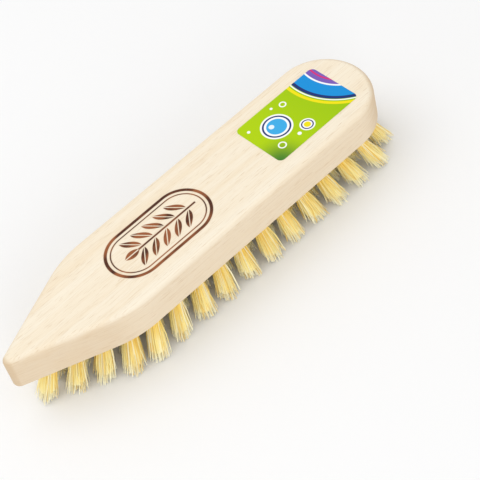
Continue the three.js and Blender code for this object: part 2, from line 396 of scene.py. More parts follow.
@dataclass(frozen=True)
class SandedBeech(Finish):
    """Bare beech, planed and sanded: pale cream, matt, with short fine flecks along the grain."""

    name: str = "beech_planed_and_sanded"
    pale: str = "#F9EED9"
    warm: str = "#F5E5CA"
    milled_and_shaded: str = "#E6D1B3"
    end_grain_and_shade: str = "#C6A67C"
    fleck: str = "#CFB088"
    burnt: str = "#4B2411"
    singed: str = "#9C5B33"
    scorched: str = "#D9B488"
    # Growth bands some 5 mm wide run the whole length of the block.
    band_size: Size = (260.0, 5.0, 7.0)
    band_detail: float = 3.0
    band_span: Span = (0.3, 0.7)
    # The milled sides are a little pinker than the sanded back, and darker as painted shade.
    side_shade_span: Span = (0.3, 0.9, 0.6, 0.0)
    # Where the nose and heel cut across the grain, the open pores drink in light; their darkening
    # there is also painted shade, as light falls off towards the ends.
    end_shade_span: Span = (0.05, 0.8, 0.0, 0.5)
    # Ray flecks are 3 to 6 mm long; their 0.2 mm width is drawn as 0.4 mm to show.
    flecks: Grain = Grain((6.5, 0.42), (8.0, 0.5), 1.0)
    fleck_span: Span = (0.62, 0.76, 0.0, 0.45)
    # Pores are finer than a pixel, so they are drawn 0.5 mm wide.
    pores: Grain = Grain((14.0, 0.5), (16.0, 0.6))
    pore_span: Span = (0.45, 0.8, 0.0, 0.28)
    # The mark lies on the back alone. Its stamp browns the wood beside each line.
    mark: BurntMark = BurntMark()
    mark_above: float = 43.8
    scorch_share: float = 0.45
    # The stamp burns darker where it pressed harder, in patches of about 12 mm.
    press_size: Size = (16.0, 9.0, 9.0)
    press_span: Span = (0.35, 0.62)
    char_span: Span = (0.5, 0.75, 0.0, 0.5)
    # Sanding leaves the wood matt, and mattest in its pores.
    roughness_span: Span = (0.3, 0.7, 0.62, 0.76)
    specular: float = 0.3
    pore_relief: float = 0.4
    burn_relief: float = 2.5
    bump_strength: float = 0.35
    bump_depth: float = 0.08

    def paint(self, tree: Tree, shader: Shader) -> None:
        """Paints growth bands, pores, ray flecks, the burnt mark, and painted shade on the sides,
        nose and heel.

        Args:
            tree: Node tree of the material.
            shader: Its Principled shader.
        """
        place = mm_place(tree)
        height = add_node(tree, "SeparateXYZ", (place,))["Z"]
        facing = add_node(tree, "SeparateXYZ", (add_node(tree, "NewGeometry")["Normal"],))
        upright = add_node(tree, "Math", (facing["Z"],), operation="ABSOLUTE")[0]
        endwise = add_node(tree, "Math", (facing["X"],), operation="ABSOLUTE")[0]
        bands = grain_noise(tree, place, self.band_size, self.band_detail)
        pores = self.pores.noise(tree, place, upright)
        flecks = self.flecks.noise(tree, place, upright)
        flecks = add_node(tree, "MapRange", (flecks, *self.fleck_span), **SMOOTH)[0]

        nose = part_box("wooden_block")[0].x / MM
        centre = (nose + self.mark.from_nose, self.mark.off_middle, 0.0)
        on_back = add_node(tree, "Math", (height, self.mark_above), operation="GREATER_THAN")[0]
        burnt, scorched = self.mark.masks(tree, mm_place(tree, centre), on_back)
        scorched = add_node(tree, "Math", (scorched, self.scorch_share), operation="MULTIPLY")[0]
        pressed = grain_noise(tree, place, self.press_size)
        coats = ((self.burnt, pressed, *self.press_span), (self.singed, pores, *self.char_span))
        char = lay_colours(tree, self.singed, coats)
        coats = (
            (self.warm, bands, *self.band_span),
            # Painted shade: the upright sides are darkened, with their own pinker tone.
            (self.milled_and_shaded, upright, *self.side_shade_span),
            # Painted shade together with darker end grain: the faces towards the nose and heel are
            # darkened.
            (self.end_grain_and_shade, endwise, *self.end_shade_span),
            (self.fleck, flecks),
            (self.fleck, pores, *self.pore_span),
            (self.scorched, scorched),
            (char, burnt),
        )

        relief = add_node(tree, "Math", (pores, self.pore_relief), operation="MULTIPLY")[0]
        relief = add_node(tree, "Math", (relief, flecks), operation="SUBTRACT")[0]
        relief = (burnt, -self.burn_relief, relief)
        relief = add_node(tree, "Math", relief, operation="MULTIPLY_ADD")[0]
        depth = self.bump_depth * MM
        bump = {"Height": relief, "Strength": self.bump_strength, "Distance": depth}
        set_inputs(tree, shader, {
            "Base Color": lay_colours(tree, self.pale, coats),
            "Roughness": add_node(tree, "MapRange", (pores, *self.roughness_span), **SMOOTH)[0],
            "Specular IOR Level": self.specular,
            "Normal": add_node(tree, "Bump", bump)["Normal"],
        })


@dataclass(frozen=True)
class PlantFibre(Finish):
    """Bleached plant fibre, combed and cut: straw yellow and slightly waxy, deeper gold at the
    roots as painted shade and paler at the tips as painted light.
    """

    name: str = "plant_fibre_combed_and_cut"
    root: str = "#FBDA69"
    straw: str = "#FFEEA0"
    tip: str = "#FFFADC"
    aged: str = "#F5CC58"
    # Along a fibre, from 0 at its hole to 1 at its tip. The deeper gold at the root is painted
    # shade under the block, and the paler tips are painted light.
    root_shade_span: Span = (0.1, 0.6)
    tip_light_span: Span = (0.6, 1.0)
    # Each fibre has its own tone: some are aged to gold, and some are bleached as pale as tips.
    aged_span: Span = (0.6, 1.0, 0.0, 0.8)
    pale_span: Span = (0.4, 0.0, 0.0, 0.8)
    # The plant's own wax leaves a soft shine.
    roughness: float = 0.5

    def paint(self, tree: Tree, shader: Shader) -> None:
        """Paints each fibre from a golden root, which is painted shade, to a pale tip, which is
        painted light, with its own tone.

        Args:
            tree: Node tree of the material.
            shader: Its Principled shader.
        """
        along = add_node(tree, "Attribute", attribute_name=ALONG)["Fac"]
        tone = add_node(tree, "Attribute", attribute_name=TONE)["Fac"]
        coats = (
            # Painted shade at the root and painted light at the tip, along each fibre.
            (self.straw, along, *self.root_shade_span),
            (self.tip, along, *self.tip_light_span),
            (self.aged, tone, *self.aged_span),
            (self.tip, tone, *self.pale_span),
        )
        colour = lay_colours(tree, self.root, coats)
        set_inputs(tree, shader, {"Base Color": colour, "Roughness": self.roughness})


@dataclass(frozen=True)
class FlatWire(Finish):
    """Drawn steel wire, rolled flat and cut: dull grey metal with marks along its length."""

    name: str = "steel_wire_rolled_flat"
    steel: str = "#B4B1AB"
    dull: str = "#8E8A84"
    # Rolling marks are drawn 0.3 mm wide, so that they show on a 2 mm face.
    mark_size: Size = (0.3, 6.0, 0.3)
    dull_span: Span = (0.35, 0.7)
    roughness_span: Span = (0.3, 0.7, 0.3, 0.45)

    def paint(self, tree: Tree, shader: Shader) -> None:
        """Paints the rolling marks, which lie along the wire.

        Args:
            tree: Node tree of the material.
            shader: Its Principled shader.
        """
        marks = grain_noise(tree, mm_place(tree), self.mark_size)
        colour = lay_colours(tree, self.steel, [(self.dull, marks, *self.dull_span)])
        roughness = add_node(tree, "MapRange", (marks, *self.roughness_span), **SMOOTH)[0]
        set_inputs(tree, shader, {"Base Color": colour, "Metallic": 1.0, "Roughness": roughness})


@dataclass(frozen=True)
class Round:
    """A round printed shape, filled or drawn as a ring. Its place is from the label's middle."""

    ink: Ink
    at: tuple[float, float]
    radius: float
    hollow: float = 0.0
    blur: float = 0.12

    def mask(self, tree: Tree, place: Socket) -> Socket:
        """Masks the disc, less its hollow.

        Args:
            tree: Node tree of the material.
            place: Place in millimetres from the label's middle.

        Returns:
            Mask that is 1 on the shape.
        """
        sockets = (place, (*self.at, 0.0))
        away = add_node(tree, "VectorMath", sockets, operation="DISTANCE")["Value"]
        edge = (away, self.radius + self.blur, self.radius - self.blur)
        disc = add_node(tree, "MapRange", edge, **SMOOTH)[0]
        if not self.hollow:
            return disc
        edge = (away, self.hollow - self.blur, self.hollow + self.blur)
        ring = add_node(tree, "MapRange", edge, **SMOOTH)[0]
        return add_node(tree, "Math", (disc, ring), operation="MULTIPLY")[0]


@dataclass(frozen=True)
class PrintedPaper(Finish):
    """Coated paper, printed in flat colours and varnished: smooth, with a soft gloss."""

    ARCS = (47.0, 12.0)
    BUBBLE = (-12.5, 2.0)
    DROP = (-1.8, -9.6)

    name: str = "coated_paper_printed"
    ground: str = "#9EC800"
    light_ground: str = "#B2D400"
    deep_ground: str = "#3E7D2A"
    half_length: float = 28.0
    deep_corner: Size = (-28.0, -17.0, 0.0)
    deep_reach: float = 19.0
    centre: Size = (0.0, 0.0, 0.0)
    motifs: tuple[Round, ...] = (
        Round(Ink.BLUE, ARCS, 33.0),
        Round(Ink.VIOLET, ARCS, 24.6),
        Round(Ink.PINK, ARCS, 21.6, 20.6),
        Round(Ink.WHITE, ARCS, 25.3, 24.3),
        Round(Ink.NAVY, ARCS, 34.6, 32.6),
        Round(Ink.WHITE, ARCS, 35.6, 34.9),
        Round(Ink.YELLOW, ARCS, 38.2, 36.4),
        Round(Ink.WHITE, BUBBLE, 8.6),
        Round(Ink.NAVY, BUBBLE, 7.6, 6.6),
        Round(Ink.SKY, BUBBLE, 5.4),
        Round(Ink.GLINT, (-14.4, 3.9), 1.5),
        Round(Ink.WHITE, DROP, 4.1),
        Round(Ink.NAVY, DROP, 3.3, 2.6),
        Round(Ink.YELLOW, DROP, 1.9),
        Round(Ink.WHITE, (-19.5, -9.4), 2.3, 1.6),
        Round(Ink.WHITE, (0.2, 10.6), 2.0, 1.3),
        Round(Ink.WHITE, (-8.6, -10.8), 1.1),
        Round(Ink.WHITE, (-24.0, 10.8), 0.9),
        Round(Ink.WHITE, (-5.6, 13.2), 0.8),
    )
    # Paper fibres show through the varnish as a faint mottle, drawn 0.6 mm wide.
    mottle_size: Size = (0.6, 0.6, 0.6)
    roughness_span: Span = (0.3, 0.7, 0.28, 0.4)
    specular: float = 0.14
    bump_strength: float = 0.15
    bump_depth: float = 0.03

    def paint(self, tree: Tree, shader: Shader) -> None:
        """Prints the motifs over the ground, one after the other.

        Args:
            tree: Node tree of the material.
            shader: Its Principled shader.
        """
        place = mm_place(tree, self.centre)
        flat = add_node(tree, "VectorMath", (place, (1.0, 1.0, 0.0)), operation="MULTIPLY")[0]
        length = add_node(tree, "SeparateXYZ", (place,))["X"]
        corner = (flat, self.deep_corner)
        away = add_node(tree, "VectorMath", corner, operation="DISTANCE")["Value"]
        coats = [
            (self.ground, length, -self.half_length, self.half_length),
            (self.deep_ground, away, self.deep_reach, 0.0),
        ]
        coats.extend((motif.ink.value, motif.mask(tree, flat)) for motif in self.motifs)
        mottle = grain_noise(tree, place, self.mottle_size)
        depth = self.bump_depth * MM
        bump = {"Height": mottle, "Strength": self.bump_strength, "Distance": depth}
        set_inputs(tree, shader, {
            "Base Color": lay_colours(tree, self.light_ground, coats),
            "Roughness": add_node(tree, "MapRange", (mottle, *self.roughness_span), **SMOOTH)[0],
            "Specular IOR Level": self.specular,
            "Normal": add_node(tree, "Bump", bump)["Normal"],
        })


@dataclass(frozen=True)
class PaleFloor(Finish):
    """Matt white card, which shows little but the brush's shadow."""

    name: str = "white_card_matt"
    white: str = "#F9F9F9"
    roughness: float = 0.9
    specular: float = 0.1

    def paint(self, tree: Tree, shader: Shader) -> None:
        """Sets a plain matt white."""
        matt = {"Roughness": self.roughness, "Specular IOR Level": self.specular}
        set_inputs(tree, shader, {"Base Color": linear(self.white), **matt})


def finished_piece(
    name: str, bm: BMesh, material: bpy.types.Material, smooth: bool = True
) -> Piece:
    """Turns a bmesh into a dressed object at the origin.

    Args:
        name: Name of the piece.
        bm: Mesh in metres, in the CAD frame. It is freed.
        material: Finish of the whole piece.
        smooth: Whether every face is shaded smooth.

    Returns:
        The new object.
    """
    mesh = bpy.data.meshes.new(name)
    bm.to_mesh(mesh)
    bm.free()
    mesh.materials.append(material)
    if smooth:
        mesh.shade_smooth()
    piece = bpy.data.objects.new(name, mesh)
    bpy.context.scene.collection.objects.link(piece)
    return piece


def even_shading(piece: Piece) -> None:
    """Weights a piece's normals by its faces, so that flat faces look flat beside round edges."""
    piece.modifiers.new("even_shading", "WEIGHTED_NORMAL").keep_sharp = True


def hand_over(piece: Piece, node: str) -> Piece:
    """Puts a piece in the frame in place of its CAD node.

    Args:
        piece: New piece.
        node: CAD node that it stands for.

    Returns:
        The same piece.
    """
    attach(piece, BODY)
    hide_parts(node)
    triangles = sum(len(face.vertices) - 2 for face in piece.data.polygons)
    LOG.info("%s stands for %s with %d triangles", piece.name, node, triangles)
    return piece


def only(items: Iterable, kind: type) -> list:
    """Picks the items of one type, in their order."""
    return [item for item in items if isinstance(item, kind)]


def draw_out(bm: BMesh, ends: Sequence[Face], keep: bool) -> tuple[list[Face], list[Vert]]:
    """Extrudes faces on the spot, for the caller to move on.

    Args:
        bm: Mesh of the faces.
        ends: Faces to extrude.
        keep: Whether they stay, to close the shape behind them. Otherwise they are taken out.

    Returns:
        The new end faces, and their vertices.
    """
    made = bmesh.ops.extrude_face_region(bm, geom=ends)["geom"]
    if not keep:
        bmesh.ops.delete(bm, geom=ends, context="FACES_ONLY")
    return only(made, Face), only(made, Vert)


@dataclass
class Tuft:
    """One tuft: where its axis crosses the bristle face, and how the axis leans."""

    foot: Vector
    lean: Vector

    def axis_point(self, height: float) -> Vector:
        """Gives the axis's point at a height over the bristle face, or under it if negative."""
        return Vector((*(self.foot.xy - self.lean * height), self.foot.z + height))


@dataclass
class WoodenBlock:
    """The one-piece block: pointed nose, rounded edges and drilled, leaning blind holes."""

    length: float = 240.0
    width: float = 55.0
    thickness: float = 20.0
    nose_radius: float = 4.2
    shoulder_from_nose: float = 57.7
    shoulder_radius: float = 58.0
    heel_length: float = 26.6
    back_round: float = 3.5
    face_round: float = 1.2
    hole_radius: float = 3.5
    hole_depth: float = 13.0
    drill_tip: float = 1.2
    rim_chamfer: float = 0.25
    nose_steps: int = 12
    shoulder_steps: int = 10
    heel_steps: int = 24
    back_segments: int = 8
    face_segments: int = 4
    hole_sides: int = 20
    sharp_angle: float = math.radians(40)

    @staticmethod
    def _spin(bm: BMesh, vert: Vert, centre: Vector, turn: float, steps: int) -> Vert:
        """Draws an arc clockwise from a vertex.

        Args:
            bm: Mesh of the outline.
            vert: Vertex at the arc's start.
            centre: Centre of the arc.
            turn: Angle of the arc in radians.
            steps: Number of edges in it.

        Returns:
            The vertex at its end.
        """
        made = bmesh.ops.spin(
            bm, geom=[vert], cent=centre * MM, axis=(0.0, 0.0, -1.0), angle=turn, steps=steps
        )
        return only(made["geom_last"], Vert)[0]

    @staticmethod
    def _line_to(bm: BMesh, vert: Vert, point: Vector) -> Vert:
        """Draws a straight edge from a vertex.

        Args:
            bm: Mesh of the outline.
            vert: Vertex at the edge's start.
            point: Point at its end.

        Returns:
            The vertex at its end.
        """
        end = bmesh.ops.extrude_vert_indiv(bm, verts=[vert])["verts"][0]
        bmesh.ops.translate(bm, verts=[end], vec=point * MM - end.co)
        return end

    def _draw_outline(self, bm: BMesh, low: Vector) -> None:
        """Draws the outline on the bristle face: half of it by spins, then its mirror image.

        Args:
            bm: Empty mesh.
            low: Lowest corner of the block's CAD box.
        """
        nose_x = low.x / MM
        nose = Vector((nose_x + self.nose_radius, 0.0, 0.0))
        corner = Vector((nose_x + self.shoulder_from_nose, self.width / 2, 0.0))
        to_corner = corner - nose
        taper = math.atan2(to_corner.y, to_corner.x)
        taper -= math.asin(self.nose_radius / to_corner.length)
        taper_normal = Vector((-math.sin(taper), math.cos(taper), 0.0))
        shoulder_x = corner.x + self.shoulder_radius * math.tan(taper / 2)
        shoulder = Vector((shoulder_x, corner.y - self.shoulder_radius, 0.0))
        heel = Vector((nose_x + self.length - self.heel_length, 0.0, 0.0))

        vert = bm.verts.new((nose_x * MM, 0.0, 0.0))
        vert = self._spin(bm, vert, nose, math.pi / 2 - taper, self.nose_steps)
        vert = self._line_to(bm, vert, shoulder + taper_normal * self.shoulder_radius)
        vert = self._spin(bm, vert, shoulder, taper, self.shoulder_steps)
        vert = self._line_to(bm, vert, heel + Vector((0.0, self.width / 2, 0.0)))
        before_heel = set(bm.verts)
        self._spin(bm, vert, heel, math.pi / 2, self.heel_steps)
        heel_arc = [v for v in bm.verts if v not in before_heel]
        squeeze = (self.heel_length / (self.width / 2), 1.0, 1.0)
        bmesh.ops.scale(bm, verts=heel_arc, vec=squeeze, space=Matrix.Translation(-heel * MM))
        bmesh.ops.mirror(bm, geom=[*bm.verts, *bm.edges], axis="Y", merge_dist=TOUCH)
        bmesh.ops.translate(bm, verts=bm.verts, vec=(0.0, 0.0, low.z))

    @staticmethod
    def _round_edges(bm: BMesh, height: float, radius: float, segments: int) -> None:
        """Rounds the edges that lie at one height.

        Args:
            bm: Mesh of the block.
            height: Height of the edges in metres.
            radius: Radius of the rounding.
            segments: Number of steps in it.
        """
        edges = [e for e in bm.edges if all(abs(v.co.z - height) < TOUCH for v in e.verts)]
        bmesh.ops.bevel(
            bm, geom=edges, offset=radius * MM, offset_type="OFFSET", segments=segments,
            profile=0.5, affect="EDGES", material=-1, clamp_overlap=False,
        )

    def _drill(self, bm: BMesh, tufts: Sequence[Tuft]) -> None:
        """Opens the bristle face and drills a leaning blind hole for each tuft.

        Args:
            bm: Mesh of the block.
            tufts: All tufts.
        """
        face = min(bm.faces, key=lambda f: f.calc_center_median().z)
        edges = list(face.edges)
        bmesh.ops.delete(bm, geom=[face], context="FACES_ONLY")
        rim_radius = (self.hole_radius + self.rim_chamfer) * MM
        rings = []
        for tuft in tufts:
            verts = bmesh.ops.create_circle(
                bm, segments=self.hole_sides, radius=rim_radius,
                matrix=Matrix.Translation(tuft.foot * MM),
            )["verts"]
            rings.append(list(dict.fromkeys(e for vert in verts for e in vert.link_edges)))
            edges.extend(rings[-1])
        bmesh.ops.triangle_fill(bm, use_beauty=True, edges=edges, normal=(0.0, 0.0, -1.0))
        for tuft, ring in zip(tufts, rings):
            for height in (self.rim_chamfer, self.hole_depth - self.drill_tip):
                centre = tuft.axis_point(height) * MM
                ring = self._raise_ring(bm, ring, centre, self.hole_radius * MM)
            floor = bmesh.ops.edgeloop_fill(bm, edges=ring)["faces"]
            point = bmesh.ops.poke(bm, faces=floor)["verts"]
            tip = tuft.axis_point(self.hole_depth) * MM
            bmesh.ops.translate(bm, verts=point, vec=tip - point[0].co)

    @staticmethod
    def _raise_ring(bm: BMesh, ring: Sequence[Edge], centre: Vector, radius: float) -> list[Edge]:
        """Extrudes a ring of edges to a new centre and radius.

        Args:
            bm: Mesh of the block.
            ring: Edges of the ring.
            centre: New centre in metres.
            radius: New radius in metres.

        Returns:
            Edges of the new ring.
        """
        made = bmesh.ops.extrude_edge_only(bm, edges=ring)["geom"]
        verts = only(made, Vert)
        old_centre = sum((v.co for v in verts), Vector()) / len(verts)
        share = radius / (verts[0].co - old_centre).length
        space = Matrix.Translation(-old_centre)
        bmesh.ops.scale(bm, verts=verts, vec=(share, share, 1.0), space=space)
        bmesh.ops.translate(bm, verts=verts, vec=centre - old_centre)
        inside = set(verts)
        return [edge for edge in only(made, Edge) if inside.issuperset(edge.verts)]

    def build(self, tufts: Sequence[Tuft], finish: Finish) -> Piece:
        """Builds and dresses the block.

        Args:
            tufts: All tufts, for their holes.
            finish: Finish of the wood.

        Returns:
            The new piece.
        """
        low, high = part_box("wooden_block")
        bm = bmesh.new()
        self._draw_outline(bm, low)
        bottom = bmesh.ops.edgeloop_fill(bm, edges=bm.edges)["faces"]
        _, top = draw_out(bm, bottom, keep=True)
        bmesh.ops.translate(bm, verts=top, vec=(0.0, 0.0, self.thickness * MM))
        self._round_edges(bm, high.z, self.back_round, self.back_segments)
        self._round_edges(bm, low.z, self.face_round, self.face_segments)
        self._drill(bm, tufts)
        bmesh.ops.recalc_face_normals(bm, faces=bm.faces)
        piece = finished_piece("beech_block", bm, finish.make())
        piece.data.set_sharp_from_angle(angle=self.sharp_angle)
        even_shading(piece)
        return hand_over(piece, "wooden_block")


@dataclass
class TuftPlan:
    """Where the tufts stand: an outer row along the outline, and straight rows inside it."""

    block: WoodenBlock
    face_height: float = 24.0
    row_inset: float = 5.5
    pitch: float = 14.0
    nose_tuft: float = 22.0
    row_bend: float = 64.0
    shoulder_tuft: float = 70.0
    row_heel: float = 15.0
    inner_rows: tuple[Row, ...] = (Row.RIGHT, Row.CENTRE, Row.LEFT)
    inner_shifts: tuple[float, ...] = (0.5, 0.0, 0.5)
    least_spacing: float = 9.0
    fan_lengthwise: float = 230.0
    fan_crosswise: float = 147.0
    arc_samples: int = 400

    @property
    def nose_x(self) -> float:
        """Where the nose lies, seen from the block's middle."""
        return -self.block.length / 2

    @property
    def heel_x(self) -> float:
        """Where the heel's curve starts, seen from the block's middle."""
        return self.block.length / 2 - self.block.heel_length

    @property
    def row_y(self) -> float:
        """Distance of the outer row from the middle line, along the block's straight sides."""
        return self.block.width / 2 - self.row_inset

    def _spaced(self, line: Sequence[Vector]) -> list[Vector]:
        """Spaces tufts evenly along a line, as near to the pitch as whole spaces come.

        Args:
            line: Points along the line.

        Returns:
            Spots from the line's start to its end.
        """
        total = sum((b - a).length for a, b in zip(line, line[1:]))
        spaces = round(total / self.pitch)
        spots = [line[0].copy()]
        gone = 0.0
        for a, b in zip(line, line[1:]):
            step = (b - a).length
            while len(spots) < spaces and gone + step >= len(spots) * total / spaces:
                spots.append(a.lerp(b, (len(spots) * total / spaces - gone) / step))
            gone += step
        return [*spots, line[-1].copy()]

    def _heel_spots(self) -> list[Vector]:
        """Spaces tufts evenly round a quarter of the heel.

        Returns:
            Spots from the end of the straight row to the heel's middle.
        """
        arc = []
        for step in range(self.arc_samples + 1):
            angle = math.pi / 2 * (1 - step / self.arc_samples)
            x = self.heel_x + self.row_heel * math.cos(angle)
            arc.append(Vector((x, self.row_y * math.sin(angle))))
        return self._spaced(arc)

    def _inner_row(
        self, y: float, shift: float, pitch: float, outer: Sequence[Vector]
    ) -> list[Vector]:
        """Steps tufts forward from the heel along a straight row, clear of the outer row.

        Args:
            y: The row's distance from the middle line.
            shift: Share of a pitch that the row is moved by.
            pitch: Step between two tufts.
            outer: Spots of the outer row.

        Returns:
            Spots from heel to nose.
        """
        share = abs(y) / self.row_y
        start = self.nose_x + self.nose_tuft + (self.row_bend - self.nose_tuft) * share
        end = self.heel_x + self.row_heel * math.sqrt(1 - share * share)
        spots = []
        x = self.heel_x + (1 + shift) * pitch
        while x > start:
            spot = Vector((x, y))
            if x < end and all((other - spot).length >= self.least_spacing for other in outer):
                spots.append(spot)
            x -= pitch
        return spots

    def _tuft(self, spot: Vector, middle: float) -> Tuft:
        """Stands a tuft on a spot, seen from the block's middle, and leans it as the holes fan."""
        lean = Vector((spot.x / self.fan_lengthwise, spot.y / self.fan_crosswise))
        return Tuft(Vector((spot.x + middle, spot.y, self.face_height)), lean)

    def rows(self) -> dict[Row, list[Tuft]]:
        """Lays out all rows.

        Returns:
            The tufts of each row.
        """
        nose = Vector((self.nose_x + self.nose_tuft, 0.0))
        bend = Vector((self.nose_x + self.row_bend, self.row_y))
        shoulder = Vector((self.nose_x + self.shoulder_tuft, self.row_y))
        slant = self._spaced([nose, bend, shoulder])
        side = self._spaced([shoulder, Vector((self.heel_x, self.row_y))])
        heel = self._heel_spots()
        between = [*slant[1:], *side[1:], *heel[1:-1]]
        mirrored = [Vector((spot.x, -spot.y)) for spot in between]
        outer = [nose, *between, heel[-1], *mirrored]
        pitch = (self.heel_x - shoulder.x) / (len(side) - 1)
        spacing = 2 * self.row_y / (len(self.inner_rows) + 1)
        spots = {Row.OUTER: outer}
        for number, (row, shift) in enumerate(zip(self.inner_rows, self.inner_shifts), 1):
            spots[row] = self._inner_row(number * spacing - self.row_y, shift, pitch, outer)
        low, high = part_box("wooden_block")
        middle = (low.x + high.x) / 2 / MM
        return {
            row: [self._tuft(spot, middle) for spot in members] for row, members in spots.items()
        }


@dataclass
class Clump:
    """Fibres that cling together: their spot in a disc of radius 1, and their shortness."""

    spot: Vector
    cut: float


@dataclass
class FibreTufts:
    """The tufts: bunches of fibres that leave their holes tight and spread to uneven tips."""

    fibres: int = 180
    # Real fibres are finer than a pixel, so each is drawn about 0.5 mm thick.
    fibre_radius: float = 0.26
    radius_spread: float = 0.06
    tip_taper: float = 0.7
    fibre_sides: int = 4
    # The bunch: its radius inside the hole, at the bristle face and at its tips.
    root_height: float = 5.0
    root_radius: float = 3.0
    face_radius: float = 3.15
    tip_radius: float = 5.6
    free_length: float = 24.0
    lean_spread: float = 0.03
    # Each fibre's own way: a bend part of the way down, a tip set aside, and a few strays.
    bend_share: float = 0.5
    bend_spread: float = 0.3
    bend_follow: float = 0.35
    tip_spread: float = 0.8
    stray_share: float = 0.08
    stray_spread: float = 1.9
    longest_reach: float = 6.4
    # The cut: uneven, and shorter round the outside.
    cut_spread: float = 1.0
    deepest_cut: float = 4.4
    dome: float = 0.8
    clumps: int = 8
    clump_share: float = 0.4
    clump_cut: float = 0.8
    # The core stands for the fibres that lie too close to be told apart.
    core_share: float = 0.92
    core_length: float = 18.0
    core_end: float = 2.8
    core_end_share: float = 0.5
    core_sides: int = 40
    core_groove: float = 0.9
    seed: int = 11

    def _radius(self, height: float) -> float:
        """Gives the bunch's radius at a height.

        Args:
            height: Height over the bristle face, or under it if negative.

        Returns:
            The radius.
        """
        face = self.face_radius
        if height >= 0:
            return face + (self.root_radius - face) * height / self.root_height
        return face + (face - self.tip_radius) * height / self.free_length

    @staticmethod
    def _disc_spot(number: int, count: int, start: float = 0.0) -> Vector:
        """Gives one of the spots that fill a disc of radius 1 evenly, from its middle outwards."""
        turn = start + number * GOLDEN_ANGLE
        return Vector((math.cos(turn), math.sin(turn), 0.0)) * math.sqrt((number + 0.5) / count)

    def _draw_clumps(self, draw: random.Random) -> list[Clump]:
        """Chooses where a tuft's fibres cling together, and how short each clump is cut.

        Args:
            draw: Source of the clumps' differences.

        Returns:
            The clumps.
        """
        start = draw.uniform(0.0, 2 * math.pi)
        spots = [self._disc_spot(number, self.clumps, start) for number in range(self.clumps)]
        return [Clump(spot, draw.uniform(0.0, self.clump_cut)) for spot in spots]

    def _path(
        self, tuft: Tuft, clumps: Sequence[Clump], number: int, draw: random.Random
    ) -> list[Vector]:
        """Chooses one fibre's path from inside its hole to its tip.

        Args:
            tuft: The tuft that it belongs to.
            clumps: Clumps of that tuft.
            number: Number of the fibre in its tuft.
            draw: Source of the fibre's own bends.

        Returns:
            Points from root to tip in millimetres.
        """
        out = self._disc_spot(number, self.fibres)
        clump = min(clumps, key=lambda other: (other.spot - out).length)
        spread = self.stray_spread if draw.random() < self.stray_share else self.tip_spread
        aside = Vector((draw.gauss(0.0, spread), draw.gauss(0.0, spread), 0.0))
        spread = self.bend_spread
        bend = Vector((draw.gauss(0.0, spread), draw.gauss(0.0, spread), 0.0))
        cut = abs(draw.gauss(0.0, self.cut_spread)) + self.dome * out.length_squared + clump.cut
        tip = min(cut, self.deepest_cut) - self.free_length
        middle = tip * self.bend_share
        bend += out * self._radius(middle) + aside * self.bend_follow
        splay = out.lerp(clump.spot, self.clump_share) * self.tip_radius + aside
        splay *= min(1.0, self.longest_reach / splay.length)
        return [
            tuft.axis_point(self.root_height) + out * self.root_radius,
            tuft.axis_point(0.0) + out * self.face_radius,
            tuft.axis_point(middle) + bend,
            tuft.axis_point(tip) + splay,
        ]

    def _grow_fibres(self, bm: BMesh, tuft: Tuft, draw: random.Random) -> None:
        """Extrudes all fibres of a tuft along their paths, level by level.

        Args:
            bm: Mesh of the tuft.
            tuft: Its place and lean.
            draw: Source of the fibres' differences.
        """
        along = bm.verts.layers.float[ALONG]
        tone = bm.verts.layers.float[TONE]
        fibre = bm.verts.layers.int.new(NUMBER)
        clumps = self._draw_clumps(draw)
        paths = [self._path(tuft, clumps, number, draw) for number in range(self.fibres)]
        for number, path in enumerate(paths):
            radius = draw.gauss(self.fibre_radius, self.radius_spread) * MM
            turn = Matrix.Rotation(draw.uniform(0.0, math.pi), 4, "Z")
            verts = bmesh.ops.create_circle(
                bm, cap_ends=True, segments=self.fibre_sides, radius=radius,
                matrix=Matrix.Translation(path[0] * MM) @ turn,
            )["verts"]
            own_tone = draw.random()
            for vert in verts:
                vert[fibre] = number
                vert[tone] = own_tone
        ends = list(bm.faces)
        last = len(paths[0]) - 1
        for level in range(1, last + 1):
            ends, verts = draw_out(bm, ends, keep=level == 1)
            taper = self.tip_taper if level == last else 1.0
            for vert in verts:
                path = paths[vert[fibre]]
                vert.co = path[level] * MM + (vert.co - path[level - 1] * MM) * taper
                vert[along] = (level - 1) / (last - 1)
        bm.verts.layers.int.remove(fibre)

    def _fill_core(self, bm: BMesh, tuft: Tuft, draw: random.Random) -> None:
        """Fills the tuft's middle with one grooved core.

        Args:
            bm: Mesh of the tuft.
            tuft: Its place and lean.
            draw: Source of the tones of its strands.
        """
        along = bm.verts.layers.float[ALONG]
        tone = bm.verts.layers.float[TONE]
        heights = (self.root_height, 0.0, -self.core_length / 2, -self.core_length)
        rings = [(height, self._radius(height) * self.core_share) for height in heights]
        rings.append((-self.core_length - self.core_end, rings[-1][1] * self.core_end_share))
        place = Matrix.Translation(tuft.axis_point(self.root_height) * MM)
        verts = bmesh.ops.create_circle(
            bm, cap_ends=True, segments=self.core_sides, radius=rings[0][1] * MM, matrix=place
        )["verts"]
        groove = (self.core_groove, self.core_groove, 1.0)
        bmesh.ops.scale(bm, verts=verts[::2], vec=groove, space=place.inverted())
        for vert in verts:
            vert[tone] = draw.random()
        core = list(verts)
        ends = [verts[0].link_faces[0]]
        for (start, wide), (height, narrow) in zip(rings, rings[1:]):
            ends, verts = draw_out(bm, ends, keep=start == self.root_height)
            centre = tuft.axis_point(start) * MM
            share = (narrow / wide, narrow / wide, 1.0)
            bmesh.ops.scale(bm, verts=verts, vec=share, space=Matrix.Translation(-centre))
            bmesh.ops.translate(bm, verts=verts, vec=tuft.axis_point(height) * MM - centre)
            core.extend(verts)
        for vert in core:
            vert[along] = max(0.0, (tuft.foot.z - vert.co.z / MM) / self.free_length)

